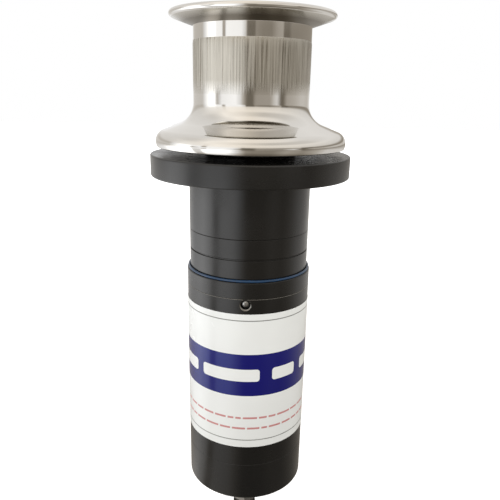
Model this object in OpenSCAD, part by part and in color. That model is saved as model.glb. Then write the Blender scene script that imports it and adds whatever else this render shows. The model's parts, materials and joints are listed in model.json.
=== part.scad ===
// Vertical anchor windlass: a rope drum above the deck, driven through a cone
// clutch and a two-stage planetary gearbox by a permanent-magnet motor below it.
// Z is the shaft's axis. Z = 0 is the underside of the deck flange, on the deck.

/* [Drum] */
// Diameter of the rope waist
waist_d = 90.6; // [88:0.2:94]
// Diameter of the smooth band under the top flange
band_d = 90; // [87:0.5:90.5]
// Greatest diameter of the flared skirt
skirt_d = 150.8; // [146:0.2:154]
// Diameter of the top flange over its rounded lip
top_flange_d = 126; // [116:1:132]
// Gap between the deck flange and the skirt
skirt_gap = 5.3; // [4:0.1:8]
// Height of the neck, where the top flange sits, above the skirt's edge
neck_h = 88.4; // [88:0.2:92]
// Height of the whole drum, from the skirt's edge to the top flange's lip
drum_h = 98; // [97:0.5:104]
// Wall thickness of the flare
drum_wall = 4.5; // [3.5:0.5:5]

/* [Clutch] */
// Largest radius of the clutch cones
cone_r = 28; // [26:0.5:28.5]
// Radial gap between a clutch cone and its seat in the drum
clutch_gap = 0.15; // [0.1:0.05:0.3]
// Size across the flats of each square of the handle socket
socket_af = 17.5; // [16:0.5:20]
// Depth of the handle socket
socket_depth = 10; // [8:0.5:10]

/* [Deck flange] */
// Diameter of the deck flange
flange_d = 160; // [156:1:170]
// Thickness of the deck flange
flange_t = 17; // [16.5:0.5:20]
// Radius of the deck flange's edges
flange_edge_r = 1.4; // [0.5:0.1:2]
// Diameter of the circle of tapped holes for the deck studs
deck_pcd = 130; // [125:1:140]
// Tapping diameter of each hole for a deck stud
deck_hole_d = 6.8; // [5:0.1:8.5]

/* [Gearbox] */
// Diameter of the gearbox
gearbox_d = 99; // [98:0.5:102]
// Height of the bearing housing
housing_h = 43.1; // [42.5:0.1:48]
// Height of the output stage's ring gear
out_ring_h = 15.7; // [15.7:0.1:18]
// Height of the input stage's ring gear
in_ring_h = 17.7; // [17.7:0.1:20]
// Gear module of both stages
gear_module = 1.5; // [1.45:0.05:1.5]
// Flank clearance of each gear tooth
backlash = 0.12; // [0.1:0.01:0.2]

/* [Motor] */
// Diameter of the motor
motor_d = 104; // [104:0.5:108]
// Height of the front bell's visible rim
bell_h = 13.6; // [13.6:0.1:15]
// Length of the motor tube
tube_h = 153.5; // [150:0.5:170]
// Height of the end cap's visible rim
cap_h = 35.9; // [35.9:0.1:40]
// Thickness of the motor tube's wall
tube_wall = 4; // [3.5:0.1:4]
// Length of the wrapped label
label_h = 122.5; // [100:0.5:130]
// Distance of each terminal stud from the axis
terminal_offset = 31; // [31:0.5:33]

/* [Hidden] */
$fn = 96;
eps = 0.01;

// Deck flange and shaft heights
flange_r = flange_d / 2;
boss_r = 36;
boss_h = 11;
z_boss = flange_t + boss_h;
seal_w = 7;
bearing_w = 15;
bearing_lip = 2;
z_upper_bearing = z_boss - seal_w - bearing_lip - bearing_w;
z_lower_bearing = -27;
shaft_r = 12.5;
hub_r = 11;
key_w = 6;
key_in_r = 7.5;
thread_r = 8;
z_cone = z_boss + 2;
seal_r = 21;
bearing_r = 26;

// Drum
z_skirt = flange_t + skirt_gap;
z_neck = z_skirt + neck_h;
z_lip = z_skirt + drum_h;
waist_r = waist_d / 2;
edge_round = 9.2;
edge_z = z_skirt + 4.3;
edge_c = skirt_d / 2 - edge_round;
flare_slope = 20;
flare_round = 17;
tangent_r = edge_c + edge_round * sin(flare_slope);
tangent_z = edge_z + edge_round * cos(flare_slope);
flare_end_r = waist_r + flare_round * (1 - sin(flare_slope));
flare_end_z = tangent_z + (tangent_r - flare_end_r) * tan(flare_slope);
flare_c = waist_r + flare_round;
flare_z = flare_end_z + flare_round * cos(flare_slope);
band_z = z_neck - 10.8;
drum_hub_r = 31;
web_z = z_skirt + 38;
web_t = 8;
upper_wall_r = 36;
cone_h = 16;
cone_tip_r = cone_r - cone_h / 2;
z_seat = z_cone + 9;
z_upper_cone = z_seat + cone_h + 21;
z_hub_top = z_upper_cone + cone_h;
z_nut = z_hub_top + 6;
z_socket = z_nut + 12;
bush_r = 14;
flange_bore_r = 30.5;
drum_screw_r = 40.5;
lip_r = 2.3;
running = 0.05;

// Fixings: six flange screws and six long gearbox bolts, half a step apart
screw_circle = 43;
bolt_circle = 44.3;
m6 = 3;
m5 = 2.5;
m4 = 2;
m6_head_r = 5;
m6_head_h = 6;
m6_counterbore_r = 5.5;
m5_head_r = 4.25;
m5_head_h = 5;
m5_counterbore_r = 4.6;
m5_counterbore = 6;
seam = 0.4;

// Gearbox
gearbox_r = gearbox_d / 2;
z_out_ring = -housing_h;
z_in_ring = z_out_ring - out_ring_h;
z_bell = z_in_ring - in_ring_h;
sun_teeth = 12;
planet_teeth = 18;
ring_teeth = 48;
pressure_angle = 25;
addendum = 0.95 * gear_module;
dedendum = 1.2 * gear_module;
planet_orbit = (sun_teeth + planet_teeth) * gear_module / 2;
pin_r = 4;
pin_head_r = 6;
carrier_r = 33;
out_planet_w = 13;
in_planet_w = 11.5;
z_out_planet = z_out_ring - 0.5 - out_planet_w;
z_out_carrier = z_out_ring - 0.1;
z_spline_top = z_out_ring + 12.1;
sun_neck_r = 6.5;
carrier_t = 11.1;
z_in_carrier = z_in_ring - 3.4;
in_carrier_t = 3.5;
z_in_planet = z_in_carrier - 0.7 - in_planet_w;
pin_head_h = 1.4;
pin_gap = 0.2;

// Motor
motor_r = motor_d / 2;
tube_r = motor_r - tube_wall;
z_tube = z_bell - bell_h;
z_cap = z_tube - tube_h;
z_bottom = z_cap - cap_h;
spigot_r = tube_r - 0.1;
bell_spigot_h = 12;
motor_seal_w = 7;
motor_seal_r = 15;
motor_shaft_r = 8.5;
front_bearing_r = 20;
front_bearing_w = 12;
z_front_bearing = z_tube - 11.9;
bell_screw_z = z_tube - 4.6;
bell_screw_angle = -92;
screw_recess_r = 4;
screw_lip = 0.9;
core_r = 38;
core_top = z_tube - 32;
core_h = 88;
core_slots = 14;
core_bore_r = 10;
magnet_r = 39;
magnet_arc = 76;
magnet_top = z_tube - 22;
magnet_h = 108;
commutator_r = 18;
commutator_bars = 28;
commutator_h = 16;
z_commutator = z_cap - 2.4;
z_brush_plate = z_cap - 6.4;
brush_angle = 67.5;
brush_plate_t = 3;
z_cap_floor = z_bottom + 11.5;
rear_shaft_r = 7.5;
rear_bearing_r = 17.5;
rear_bearing_w = 11;
z_rear_bearing = z_bottom + 7.5;
tie_circle = 42.5;
label_t = 0.2;
label_top = z_tube - 12.4;
insulator_r = 8;
stud_r = 5;
z_stud_end = z_bottom - 32.5;
nut_af = 17;
nut_h = 8;
washer_t = 2;
washer_r = 10;
z_lower_washer = z_bottom - 18.5;

// ---- Helpers ----

// Points on an arc from angle a0 to a1, in steps
function arc(cx, cy, r, a0, a1, steps = 8) =
    [for (i = [0:steps]) let (a = a0 + (a1 - a0) * i / steps) [cx + r * cos(a), cy + r * sin(a)]];

module turned(points) {
    rotate_extrude() polygon(points);
}

module rod(r, z_low, z_high) {
    translate([0, 0, z_low]) cylinder(r = r, h = z_high - z_low);
}

module ring(r_out, r_in, z_low, z_high) {
    difference() {
        rod(r_out, z_low, z_high);
        rod(r_in, z_low - 1, z_high + 1);
    }
}

module around(count, radius, start = 0) {
    for (i = [0:count - 1])
        rotate([0, 0, start + 360 * i / count]) translate([radius, 0, 0]) children();
}

// A socket-head cap screw: its head stands on z = 0 and its shank hangs below
module cap_screw(r, length, head_r, head_h) {
    difference() {
        union() {
            rod(r, -length, eps);
            rod(head_r, 0, head_h);
        }
        translate([0, 0, head_h / 2]) cylinder(r = r, h = head_h, $fn = 6);
    }
}

// Involute of a circle, as an angle in degrees
function involute(angle) = tan(angle) * 180 / PI - angle;

// Half of a tooth's angle at radius r
function half_tooth(r, teeth, base_r, clearance) =
    90 / teeth - clearance * 180 / PI / (teeth * gear_module / 2)
    + involute(pressure_angle) - (r > base_r ? involute(acos(base_r / r)) : 0);

// The outline of a gear, or of the hole in a ring gear, with a tooth on +X
function gear_points(teeth, add, ded, clearance) =
    let (pitch_r = teeth * gear_module / 2,
         base_r = pitch_r * cos(pressure_angle),
         root_r = pitch_r - ded,
         tip_r = pitch_r + add,
         start_r = max(base_r, root_r),
         flank = [for (f = [0, 0.35, 0.7, 1]) start_r + (tip_r - start_r) * f],
         radii = root_r < base_r ? concat([root_r], flank) : flank,
         last = len(radii) - 1)
    [for (i = [0:teeth - 1], side = [-1, 1], k = [0:last])
        let (r = radii[side < 0 ? k : last - k],
             a = 360 * i / teeth + side * half_tooth(r, teeth, base_r, clearance))
        [r * cos(a), r * sin(a)]];

module gear_outline(teeth) {
    polygon(gear_points(teeth, addendum, dedendum, backlash / 2));
}

module ring_gear(z_low, height) {
    far = gearbox_r - seam;
    z_high = z_low + height;
    difference() {
        turned([[0, z_low], [far, z_low], [gearbox_r, z_low + seam],
                [gearbox_r, z_high - seam], [far, z_high], [0, z_high]]);
        translate([0, 0, z_low - 1]) linear_extrude(height + 2)
            rotate([0, 0, 180 / ring_teeth])
                polygon(gear_points(ring_teeth, dedendum, addendum, -backlash / 2));
        around(6, bolt_circle, 30) rod(m5 + 0.2, z_low - 1, z_high + 1);
    }
}

module planet_gear(index, z_low, width, bore_r) {
    rotate([0, 0, 120 * index]) translate([planet_orbit, 0, z_low]) difference() {
        linear_extrude(width) rotate([0, 0, 180 / planet_teeth]) gear_outline(planet_teeth);
        rod(bore_r, -1, width + 1);
    }
}

module planet_pins(z_head, z_top) {
    around(3, planet_orbit) {
        rod(pin_head_r, z_head, z_head + pin_head_h);
        rod(pin_r, z_head, z_top);
    }
}

// The shaft's splined end, which drives the output carrier's hub the other way round
module spline_outline() {
    spline_teeth = 16;
    root_r = shaft_r - 1.6;
    step = 360 / spline_teeth;
    polygon([for (i = [0:spline_teeth - 1], k = [0:3])
        let (r = k == 1 || k == 2 ? shaft_r - 0.2 : root_r,
             a = step * (i + [-0.3, -0.2, 0.2, 0.3][k]))
        [r * cos(a), r * sin(a)]]);
}

module torus(r, section_r, z) {
    translate([0, 0, z]) rotate_extrude() translate([r, 0]) circle(r = section_r, $fn = 32);
}

// The three parts of a ball bearing that starts at z
function ball_circle(bore, outer) = (bore + outer) / 2;
function race(bore, outer) = (outer - bore) * 0.3;

module outer_race(bore, outer, width, z) {
    difference() {
        ring(outer, ball_circle(bore, outer) + race(bore, outer) * 0.55, z, z + width);
        torus(ball_circle(bore, outer), race(bore, outer), z + width / 2);
    }
}

module inner_race(bore, outer, width, z) {
    difference() {
        ring(ball_circle(bore, outer) - race(bore, outer) * 0.55, bore, z, z + width);
        torus(ball_circle(bore, outer), race(bore, outer), z + width / 2);
    }
}

module balls(bore, outer, width, z, count) {
    around(count, ball_circle(bore, outer))
        translate([0, 0, z + width / 2]) sphere(r = race(bore, outer) - 0.25, $fn = 48);
}

// ---- Drum and clutch ----

module drum_barrel() {
    inner_round = edge_round - drum_wall;
    inner_flare = flare_round + drum_wall;
    seat_r = cone_r + clutch_gap;
    seat_tip_r = cone_tip_r + clutch_gap;
    color("silver") difference() {
        turned(concat(
            [[edge_c + inner_round, z_skirt]],
            arc(edge_c, edge_z, edge_round, -28, 90 - flare_slope, 12),
            arc(flare_c, flare_z, flare_round, 270 - flare_slope, 180, 12),
            [[waist_r, band_z], [band_d / 2, band_z + 0.3], [band_d / 2, z_neck],
             [upper_wall_r, z_neck], [upper_wall_r, web_z + web_t],
             [drum_hub_r, web_z + web_t], [drum_hub_r, z_hub_top],
             [seat_r, z_hub_top], [seat_tip_r, z_upper_cone], [bush_r, z_upper_cone],
             [bush_r, z_seat + cone_h], [seat_tip_r, z_seat + cone_h],
             [seat_r, z_seat], [drum_hub_r, z_seat],
             [drum_hub_r, web_z], [waist_r - drum_wall, web_z]],
            arc(flare_c, flare_z, inner_flare, 180, 270 - flare_slope, 12),
            arc(edge_c, edge_z, inner_round, 90 - flare_slope, 0, 6)));
        around(4, drum_screw_r, 45) rod(m5, z_neck - 13, z_neck + 1);
    }
}

module drum_top_flange() {
    lip_c = top_flange_d / 2 - lip_r;
    face_z = z_lip - 0.8;
    color("silver") difference() {
        turned(concat(
            [[flange_bore_r, z_neck - 6], [upper_wall_r - 0.1, z_neck - 6],
             [upper_wall_r - 0.1, z_neck], [band_d / 2 + 0.8, z_neck]],
            arc(lip_c, z_lip - lip_r, lip_r, -72, 90, 8),
            [[lip_c - 3, face_z], [flange_bore_r + 1.5, face_z],
             [flange_bore_r, face_z - 1.5]]));
        around(4, drum_screw_r, 45) {
            rod(m5 + 0.2, z_neck - 1, z_lip);
            translate([0, 0, face_z - m5 - 0.2]) cylinder(r1 = m5, r2 = 2 * m5 + 0.2, h = m5 + 0.21);
        }
    }
}

module drum_screws() {
    top = z_lip - 1;
    color("gainsboro") around(4, drum_screw_r, 45) difference() {
        union() {
            rod(m5, z_neck - 12, top - m5 + eps);
            translate([0, 0, top - m5]) cylinder(r1 = m5, r2 = 2 * m5, h = m5);
        }
        translate([0, 0, top - 2]) cylinder(r = 1.7, h = 3, $fn = 6);
    }
}

module drum_bush() {
    color("peru") ring(bush_r, hub_r + running, z_seat + cone_h + 0.3, z_upper_cone - 0.3);
}

module clutch_nut() {
    nut_r = 24;
    top = z_socket + socket_depth;
    color("silver") difference() {
        turned([[thread_r + running, z_nut], [nut_r - 3, z_nut], [nut_r, z_nut + 2],
                [nut_r, top - 2], [nut_r - 2, top], [thread_r + running, top]]);
        for (a = [0, 45]) rotate([0, 0, a])
            translate([-socket_af / 2, -socket_af / 2, z_socket])
                cube([socket_af, socket_af, socket_depth + 1]);
        around(8, nut_r + 2, 22.5) rod(4, z_nut + 6, top + 1);
    }
}

module upper_clutch_cone() {
    key_slot = key_w + 2 * running;
    color("darkgray") difference() {
        turned([[hub_r + running, z_upper_cone], [cone_tip_r, z_upper_cone],
                [cone_r, z_hub_top], [cone_r, z_hub_top + 0.5], [cone_r + 1, z_hub_top + 0.5],
                [cone_r + 1, z_nut], [hub_r + running, z_nut]]);
        translate([0, -key_slot / 2, z_upper_cone - 1]) cube([13.6, key_slot, z_nut]);
    }
}

module lower_clutch_cone() {
    color("darkgray") difference() {
        turned([[hub_r, z_cone], [cone_r + 2, z_cone], [cone_r + 2, z_seat - 0.5],
                [cone_r, z_seat - 0.5], [cone_r, z_seat], [cone_tip_r, z_seat + cone_h],
                [hub_r, z_seat + cone_h]]);
        translate([0, -key_w / 2, z_cone - 1]) cube([key_in_r + key_w, key_w, 60]);
    }
}

// The two square keys that the cones ride on
module keys() {
    translate([key_in_r, -key_w / 2, z_seat - 4]) cube([key_w, key_w, 16]);
    translate([key_in_r, -key_w / 2, z_upper_cone + 4]) cube([key_w, key_w, 13]);
}

module shaft_keys() {
    color("dimgray") keys();
}

// ---- Main shaft and its bearings ----

module main_shaft() {
    z_hub_end = z_nut - 2;
    color("lightsteelblue") difference() {
        union() {
            translate([0, 0, z_out_carrier]) linear_extrude(z_spline_top - z_out_carrier)
                spline_outline();
            rod(shaft_r, z_spline_top, z_cone);
            rod(hub_r, z_cone, z_hub_end);
            rod(thread_r, z_hub_end, z_socket - 0.5);
        }
        keys();
        ring(shaft_r + 1, shaft_r - 1, z_upper_bearing + bearing_w, z_upper_bearing + bearing_w + 1.3);
    }
}

module shaft_circlip() {
    color("dimgray") translate([0, 0, z_upper_bearing + bearing_w]) difference() {
        ring(shaft_r + 2.5, shaft_r - 1, 0, 1.2);
        translate([0, -3, -1]) cube([30, 6, 4]);
    }
}

module bearing_spacer() {
    color("silver") ring(shaft_r + 3, shaft_r, z_lower_bearing + bearing_w, z_upper_bearing);
}

module shaft_seal() {
    color("saddlebrown") difference() {
        ring(seal_r, shaft_r + running, z_boss - seal_w, z_boss);
        ring(seal_r - 2, shaft_r + 2, z_boss - 2, z_boss + 1);
    }
}

module shaft_bearing_outer_rings() {
    color("lightgray") for (z = [z_lower_bearing, z_upper_bearing])
        outer_race(shaft_r, bearing_r, bearing_w, z);
}

module shaft_bearing_inner_rings() {
    color("lightgray") for (z = [z_lower_bearing, z_upper_bearing])
        inner_race(shaft_r, bearing_r, bearing_w, z);
}

module shaft_bearing_balls() {
    color("white") for (z = [z_lower_bearing, z_upper_bearing])
        balls(shaft_r, bearing_r, bearing_w, z, 9);
}

// ---- Deck flange and gearbox ----

module base_flange() {
    far = flange_r - flange_edge_r;
    color([0.12, 0.12, 0.12]) difference() {
        turned(concat(
            [[bearing_r, 0]],
            arc(far, flange_edge_r, flange_edge_r, -90, 0, 4),
            arc(far, flange_t - flange_edge_r, flange_edge_r, 0, 90, 4),
            [[boss_r, flange_t], [boss_r, z_boss - 1], [boss_r - 1, z_boss], [seal_r, z_boss],
             [seal_r, z_boss - seal_w], [seal_r - 2, z_boss - seal_w],
             [seal_r - 2, z_upper_bearing + bearing_w],
             [bearing_r, z_upper_bearing + bearing_w]]));
        around(4, deck_pcd / 2, 45) rod(deck_hole_d / 2, -1, flange_t - 4);
        around(6, screw_circle) {
            rod(m6 + 0.3, -1, flange_t + 1);
            rod(m6_counterbore_r, flange_t - 7, flange_t + 1);
        }
    }
}

module flange_screws() {
    color("dimgray") around(6, screw_circle) translate([0, 0, flange_t - 7])
        cap_screw(m6, flange_t + 5, m6_head_r, m6_head_h);
}

module gearbox_housing() {
    color([0.13, 0.13, 0.13]) difference() {
        turned([[38, -housing_h], [gearbox_r - seam, -housing_h], [gearbox_r, seam - housing_h],
                [gearbox_r, 0], [seal_r, 0],
                [seal_r, z_lower_bearing + bearing_w], [bearing_r, z_lower_bearing + bearing_w],
                [bearing_r, z_lower_bearing - 2], [38, z_lower_bearing - 2]]);
        around(6, screw_circle) rod(m6, -16, 1);
        around(6, bolt_circle, 30) {
            rod(m5 + 0.2, -housing_h - 1, 1);
            rod(m5_counterbore_r, -m5_counterbore, 1);
        }
    }
}

module gearbox_bolts() {
    color("dimgray") around(6, bolt_circle, 30) translate([0, 0, -m5_counterbore])
        cap_screw(m5, -z_bell + 4, m5_head_r, m5_head_h);
}

module output_ring_gear() {
    color([0.15, 0.14, 0.14]) ring_gear(z_in_ring, out_ring_h);
}

module input_ring_gear() {
    color([0.14, 0.14, 0.14]) ring_gear(z_bell, in_ring_h);
}

module output_carrier() {
    color("slategray") difference() {
        union() {
            rod(carrier_r, z_out_carrier, z_out_carrier + carrier_t);
            rod(shaft_r + 4, z_out_carrier, z_lower_bearing);
        }
        translate([0, 0, z_out_carrier - 1]) linear_extrude(z_spline_top - z_out_carrier + 1)
            spline_outline();
        rod(shaft_r, z_spline_top, z_lower_bearing + 1);
        around(3, planet_orbit) rod(pin_r, z_out_carrier - 1, z_out_carrier + carrier_t + 1);
    }
}

module output_planet_pins() {
    color("lightgray") planet_pins(z_out_planet - pin_gap - pin_head_h, z_out_carrier + carrier_t);
}

module output_planet(index) {
    color("burlywood") planet_gear(index, z_out_planet, out_planet_w, pin_r + 1.5);
}

module output_bush(index) {
    color("peru") rotate([0, 0, 120 * index]) translate([planet_orbit, 0, 0])
        ring(pin_r + 1.5, pin_r + 0.04, z_out_planet, z_out_planet + out_planet_w);
}

module output_sun_gear() {
    z_top = z_out_carrier - 1;
    z_gear = z_in_carrier + in_carrier_t;
    color("goldenrod") {
        translate([0, 0, z_gear]) linear_extrude(z_top - z_gear) gear_outline(sun_teeth);
        rod(sun_neck_r, z_in_carrier, z_gear + eps);
    }
}

module input_carrier() {
    color("slategray") difference() {
        rod(carrier_r, z_in_carrier, z_in_carrier + in_carrier_t);
        rod(sun_neck_r, z_in_carrier - 1, z_in_carrier + in_carrier_t + 1);
        around(3, planet_orbit) rod(pin_r, z_in_carrier - 1, z_in_carrier + in_carrier_t + 1);
    }
}

module input_planet_pins() {
    color("lightgray") planet_pins(z_in_planet - pin_gap - pin_head_h, z_in_carrier + in_carrier_t);
}

module input_planet(index) {
    color("burlywood") planet_gear(index, z_in_planet, in_planet_w, pin_r + 0.04);
}

module input_sun_pinion() {
    color("goldenrod") difference() {
        translate([0, 0, z_in_planet - 0.4]) linear_extrude(in_planet_w) gear_outline(sun_teeth);
        pinion_end(z_in_planet - 1, z_in_planet + in_planet_w + 1);
    }
}

// The motor shaft's flatted end, which carries the input pinion
module pinion_end(z_low, z_high) {
    difference() {
        rod(4.5, z_low, z_high);
        translate([3.5, -5, z_low - 1]) cube([5, 10, z_high - z_low + 2]);
    }
}

module gearbox_seal_ring() {
    color("royalblue") torus(gearbox_r + 1, 1, z_bell + 1);
}

// ---- Motor ----

module motor_front_bell() {
    color([0.12, 0.12, 0.12]) difference() {
        union() {
            turned([[0, z_bell], [motor_r - 0.8, z_bell], [motor_r, z_bell - 0.8],
                    [motor_r, z_tube + seam], [motor_r - seam, z_tube], [0, z_tube]]);
            ring(spigot_r, magnet_r, z_tube - bell_spigot_h, z_tube + eps);
            rod(front_bearing_r + 6, z_tube - bell_spigot_h, z_tube + eps);
        }
        rod(motor_seal_r, z_bell - motor_seal_w, z_bell + 1);
        rod(motor_shaft_r + 1, z_tube - 2, z_bell);
        rod(front_bearing_r, z_tube - bell_spigot_h - 1, z_front_bearing + front_bearing_w);
        around(6, bolt_circle, 30) rod(m5, z_bell - 11.5, z_bell + 1);
        around(2, tie_circle, 45) rod(m5, z_tube - bell_spigot_h - 1, z_tube + 4);
        around(4, 0, bell_screw_angle) translate([spigot_r - 9, 0, bell_screw_z])
            rotate([0, 90, 0]) cylinder(r = m4, h = 20);
    }
}

module bell_screws() {
    color("silver") around(4, spigot_r, bell_screw_angle) translate([0, 0, bell_screw_z])
        rotate([0, 90, 0]) difference() {
            union() {
                rod(m4, -8, eps);
                rod(3.1, 0, 1.6);
                rod(2.4, 1.6 - eps, 2.2);
            }
            translate([-2.6, -0.4, 1.3]) cube([5.2, 0.8, 2]);
            translate([-0.4, -2.6, 1.3]) cube([0.8, 5.2, 2]);
        }
}

module motor_shaft_seal() {
    color("saddlebrown") ring(motor_seal_r, motor_shaft_r + running, z_bell - motor_seal_w, z_bell);
}

module motor_tube() {
    color([0.11, 0.11, 0.11]) difference() {
        turned([[tube_r, z_cap], [motor_r - seam, z_cap], [motor_r, z_cap + seam],
                [motor_r, z_tube - seam], [motor_r - seam, z_tube], [tube_r, z_tube]]);
        around(4, tube_r - 2, bell_screw_angle) translate([0, 0, bell_screw_z])
            rotate([0, 90, 0]) {
                cylinder(r = screw_recess_r, h = 10);
                translate([0, 0, motor_r - tube_r + 2 - screw_lip])
                    cylinder(r1 = screw_recess_r, r2 = screw_recess_r + 2 * screw_lip, h = 2 * screw_lip);
            }
    }
}

module motor_label() {
    label_gap = 3;
    color("white") rotate([0, 0, 90 + label_gap]) rotate_extrude(angle = 360 - 2 * label_gap)
        translate([motor_r, label_top - label_h]) square([label_t, label_h]);
}

module magnets() {
    color("dimgray") for (i = [0:3])
        rotate([0, 0, 90 * i - magnet_arc / 2]) rotate_extrude(angle = magnet_arc)
            translate([magnet_r, magnet_top - magnet_h]) square([tube_r - magnet_r, magnet_h]);
}

module armature_shaft() {
    z_step = z_bell - 0.2;
    color("lightsteelblue") {
        pinion_end(z_step - eps, z_in_planet + in_planet_w - 0.4);
        rod(motor_shaft_r, z_front_bearing, z_step);
        rod(core_bore_r, z_commutator, z_front_bearing);
        rod(rear_shaft_r, z_rear_bearing, z_commutator);
    }
}

module core_slot(width, depth) {
    translate([22, -width / 2]) square([depth, width]);
}

module armature_core() {
    color("gray") translate([0, 0, core_top - core_h]) linear_extrude(core_h) difference() {
        circle(r = core_r);
        circle(r = core_bore_r);
        for (i = [0:core_slots - 1]) rotate([0, 0, 360 * i / core_slots]) {
            core_slot(6, 13);
            core_slot(2.4, 18);
        }
    }
}

module armature_windings() {
    end_r = 34;
    color("chocolate") {
        translate([0, 0, core_top - core_h - 0.5]) linear_extrude(core_h + 1)
            for (i = [0:core_slots - 1]) rotate([0, 0, 360 * i / core_slots])
                translate([0.3, 0]) core_slot(5.4, 12.4);
        for (z = [core_top + 0.3, core_top - core_h - 10.3]) turned([
            [core_bore_r + 3, z], [end_r - 3, z], [end_r, z + 3], [end_r, z + 7],
            [end_r - 3, z + 10], [core_bore_r + 3, z + 10]]);
    }
}

module commutator() {
    color("darkorange") translate([0, 0, z_commutator]) linear_extrude(commutator_h) difference() {
        circle(r = commutator_r);
        circle(r = core_bore_r);
        for (i = [0:commutator_bars - 1]) rotate([0, 0, 360 * i / commutator_bars])
            translate([commutator_r - 2, -0.3]) square([3, 0.6]);
    }
}

module motor_bearing_outer_rings() {
    color("lightgray") {
        outer_race(motor_shaft_r, front_bearing_r, front_bearing_w, z_front_bearing);
        outer_race(rear_shaft_r, rear_bearing_r, rear_bearing_w, z_rear_bearing);
    }
}

module motor_bearing_inner_rings() {
    color("lightgray") {
        inner_race(motor_shaft_r, front_bearing_r, front_bearing_w, z_front_bearing);
        inner_race(rear_shaft_r, rear_bearing_r, rear_bearing_w, z_rear_bearing);
    }
}

module motor_bearing_balls() {
    color("white") {
        balls(motor_shaft_r, front_bearing_r, front_bearing_w, z_front_bearing, 8);
        balls(rear_shaft_r, rear_bearing_r, rear_bearing_w, z_rear_bearing, 8);
    }
}

module brush_plate() {
    color("maroon") difference() {
        ring(45.9, 23, z_brush_plate, z_brush_plate + brush_plate_t);
        around(2, tie_circle, 45) rod(m5 + 0.5, z_brush_plate - 1, z_brush_plate + brush_plate_t + 1);
        for (side = [-1, 1]) translate([0, side * terminal_offset, z_brush_plate - 1])
            cylinder(r = stud_r + 1.5, h = brush_plate_t + 2);
    }
}

module brush_holders() {
    z = z_brush_plate + brush_plate_t;
    color("goldenrod") around(4, 21.5, brush_angle) translate([0, -6, z]) difference() {
        cube([19, 12, 10]);
        translate([-1, 0.9, 0.9]) cube([21, 10.2, 8.2]);
    }
}

module brushes() {
    z = z_brush_plate + brush_plate_t + 1;
    color([0.2, 0.2, 0.2]) around(4, commutator_r + 0.3, brush_angle)
        translate([0, -5, z]) cube([15, 10, 8]);
}

// A flat strip rolled into a spiral, which pushes the brush inwards
module spiral_strip(r_in, r_out, turns, thickness, height) {
    steps = 36;
    inner = [for (i = [0:steps]) let (r = r_in + (r_out - r_in) * i / steps, a = 360 * turns * i / steps)
        [r * cos(a), r * sin(a)]];
    outer = [for (i = [steps:-1:0])
        let (r = r_in + thickness + (r_out - r_in) * i / steps, a = 360 * turns * i / steps)
        [r * cos(a), r * sin(a)]];
    linear_extrude(height) polygon(concat(inner, outer));
}

module brush_springs() {
    z = z_brush_plate + brush_plate_t + 2;
    color("lightgray") around(4, commutator_r + 18.7, brush_angle) translate([0, 0, z])
        spiral_strip(1.2, 2.8, 2.5, 0.25, 6);
}

module motor_end_cap() {
    round_r = 3;
    inner_r = 44;
    seat_r = 46;
    color([0.12, 0.12, 0.12]) difference() {
        turned(concat(
            [[0, z_bottom]],
            arc(motor_r - round_r, z_bottom + round_r, round_r, -90, 0, 5),
            [[motor_r, z_cap - seam], [motor_r - seam, z_cap], [spigot_r, z_cap],
             [spigot_r, z_cap + 7.6], [seat_r, z_cap + 7.6],
             [seat_r, z_brush_plate], [inner_r, z_brush_plate], [inner_r, z_cap_floor],
             [rear_bearing_r + 5.5, z_cap_floor], [rear_bearing_r + 5.5, z_rear_bearing + rear_bearing_w],
             [rear_bearing_r, z_rear_bearing + rear_bearing_w], [rear_bearing_r, z_rear_bearing],
             [0, z_rear_bearing]]));
        around(2, tie_circle, 45) {
            rod(m5 + 0.2, z_bottom - 1, z_cap + 8);
            rod(m5_counterbore_r, z_bottom - 1, z_bottom + m5_counterbore);
        }
        around(2, terminal_offset, 90) rod(insulator_r, z_bottom - 1, z_cap_floor + 1);
    }
}

module tie_bolts() {
    color("dimgray") around(2, tie_circle, 45) translate([0, 0, z_bottom + m5_counterbore]) mirror([0, 0, 1])
        cap_screw(m5, z_tube - z_bottom - 4, m5_head_r, m5_head_h);
}

module terminal_studs() {
    color("gainsboro") around(2, terminal_offset, 90) {
        rod(stud_r, z_stud_end + 1, z_cap_floor + 6);
        translate([0, 0, z_stud_end]) cylinder(r1 = stud_r - 1, r2 = stud_r, h = 1 + eps);
    }
}

module terminal_insulators() {
    color([0.75, 0.2, 0.15]) around(2, terminal_offset, 90) difference() {
        union() {
            rod(insulator_r, z_bottom - 1, z_cap_floor);
            rod(11, z_bottom - 3, z_bottom);
        }
        rod(stud_r, z_bottom - 4, z_cap_floor + 1);
    }
}

module terminal_washers() {
    color("gainsboro") around(2, terminal_offset, 90) {
        ring(washer_r, stud_r, z_bottom - 5, z_bottom - 5 + washer_t);
        ring(washer_r, stud_r, z_lower_washer, z_lower_washer + washer_t);
        ring(8, stud_r, z_cap_floor, z_cap_floor + 1.5);
    }
}

module hex_nut(z) {
    difference() {
        translate([0, 0, z]) rotate([0, 0, 30]) cylinder(r = nut_af / 2 / cos(30), h = nut_h, $fn = 6);
        rod(stud_r, z - 1, z + nut_h + 1);
    }
}

module terminal_nuts() {
    color("gainsboro") around(2, terminal_offset, 90) {
        hex_nut(z_bottom - 5 - nut_h);
        hex_nut(z_lower_washer - nut_h);
    }
}

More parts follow.
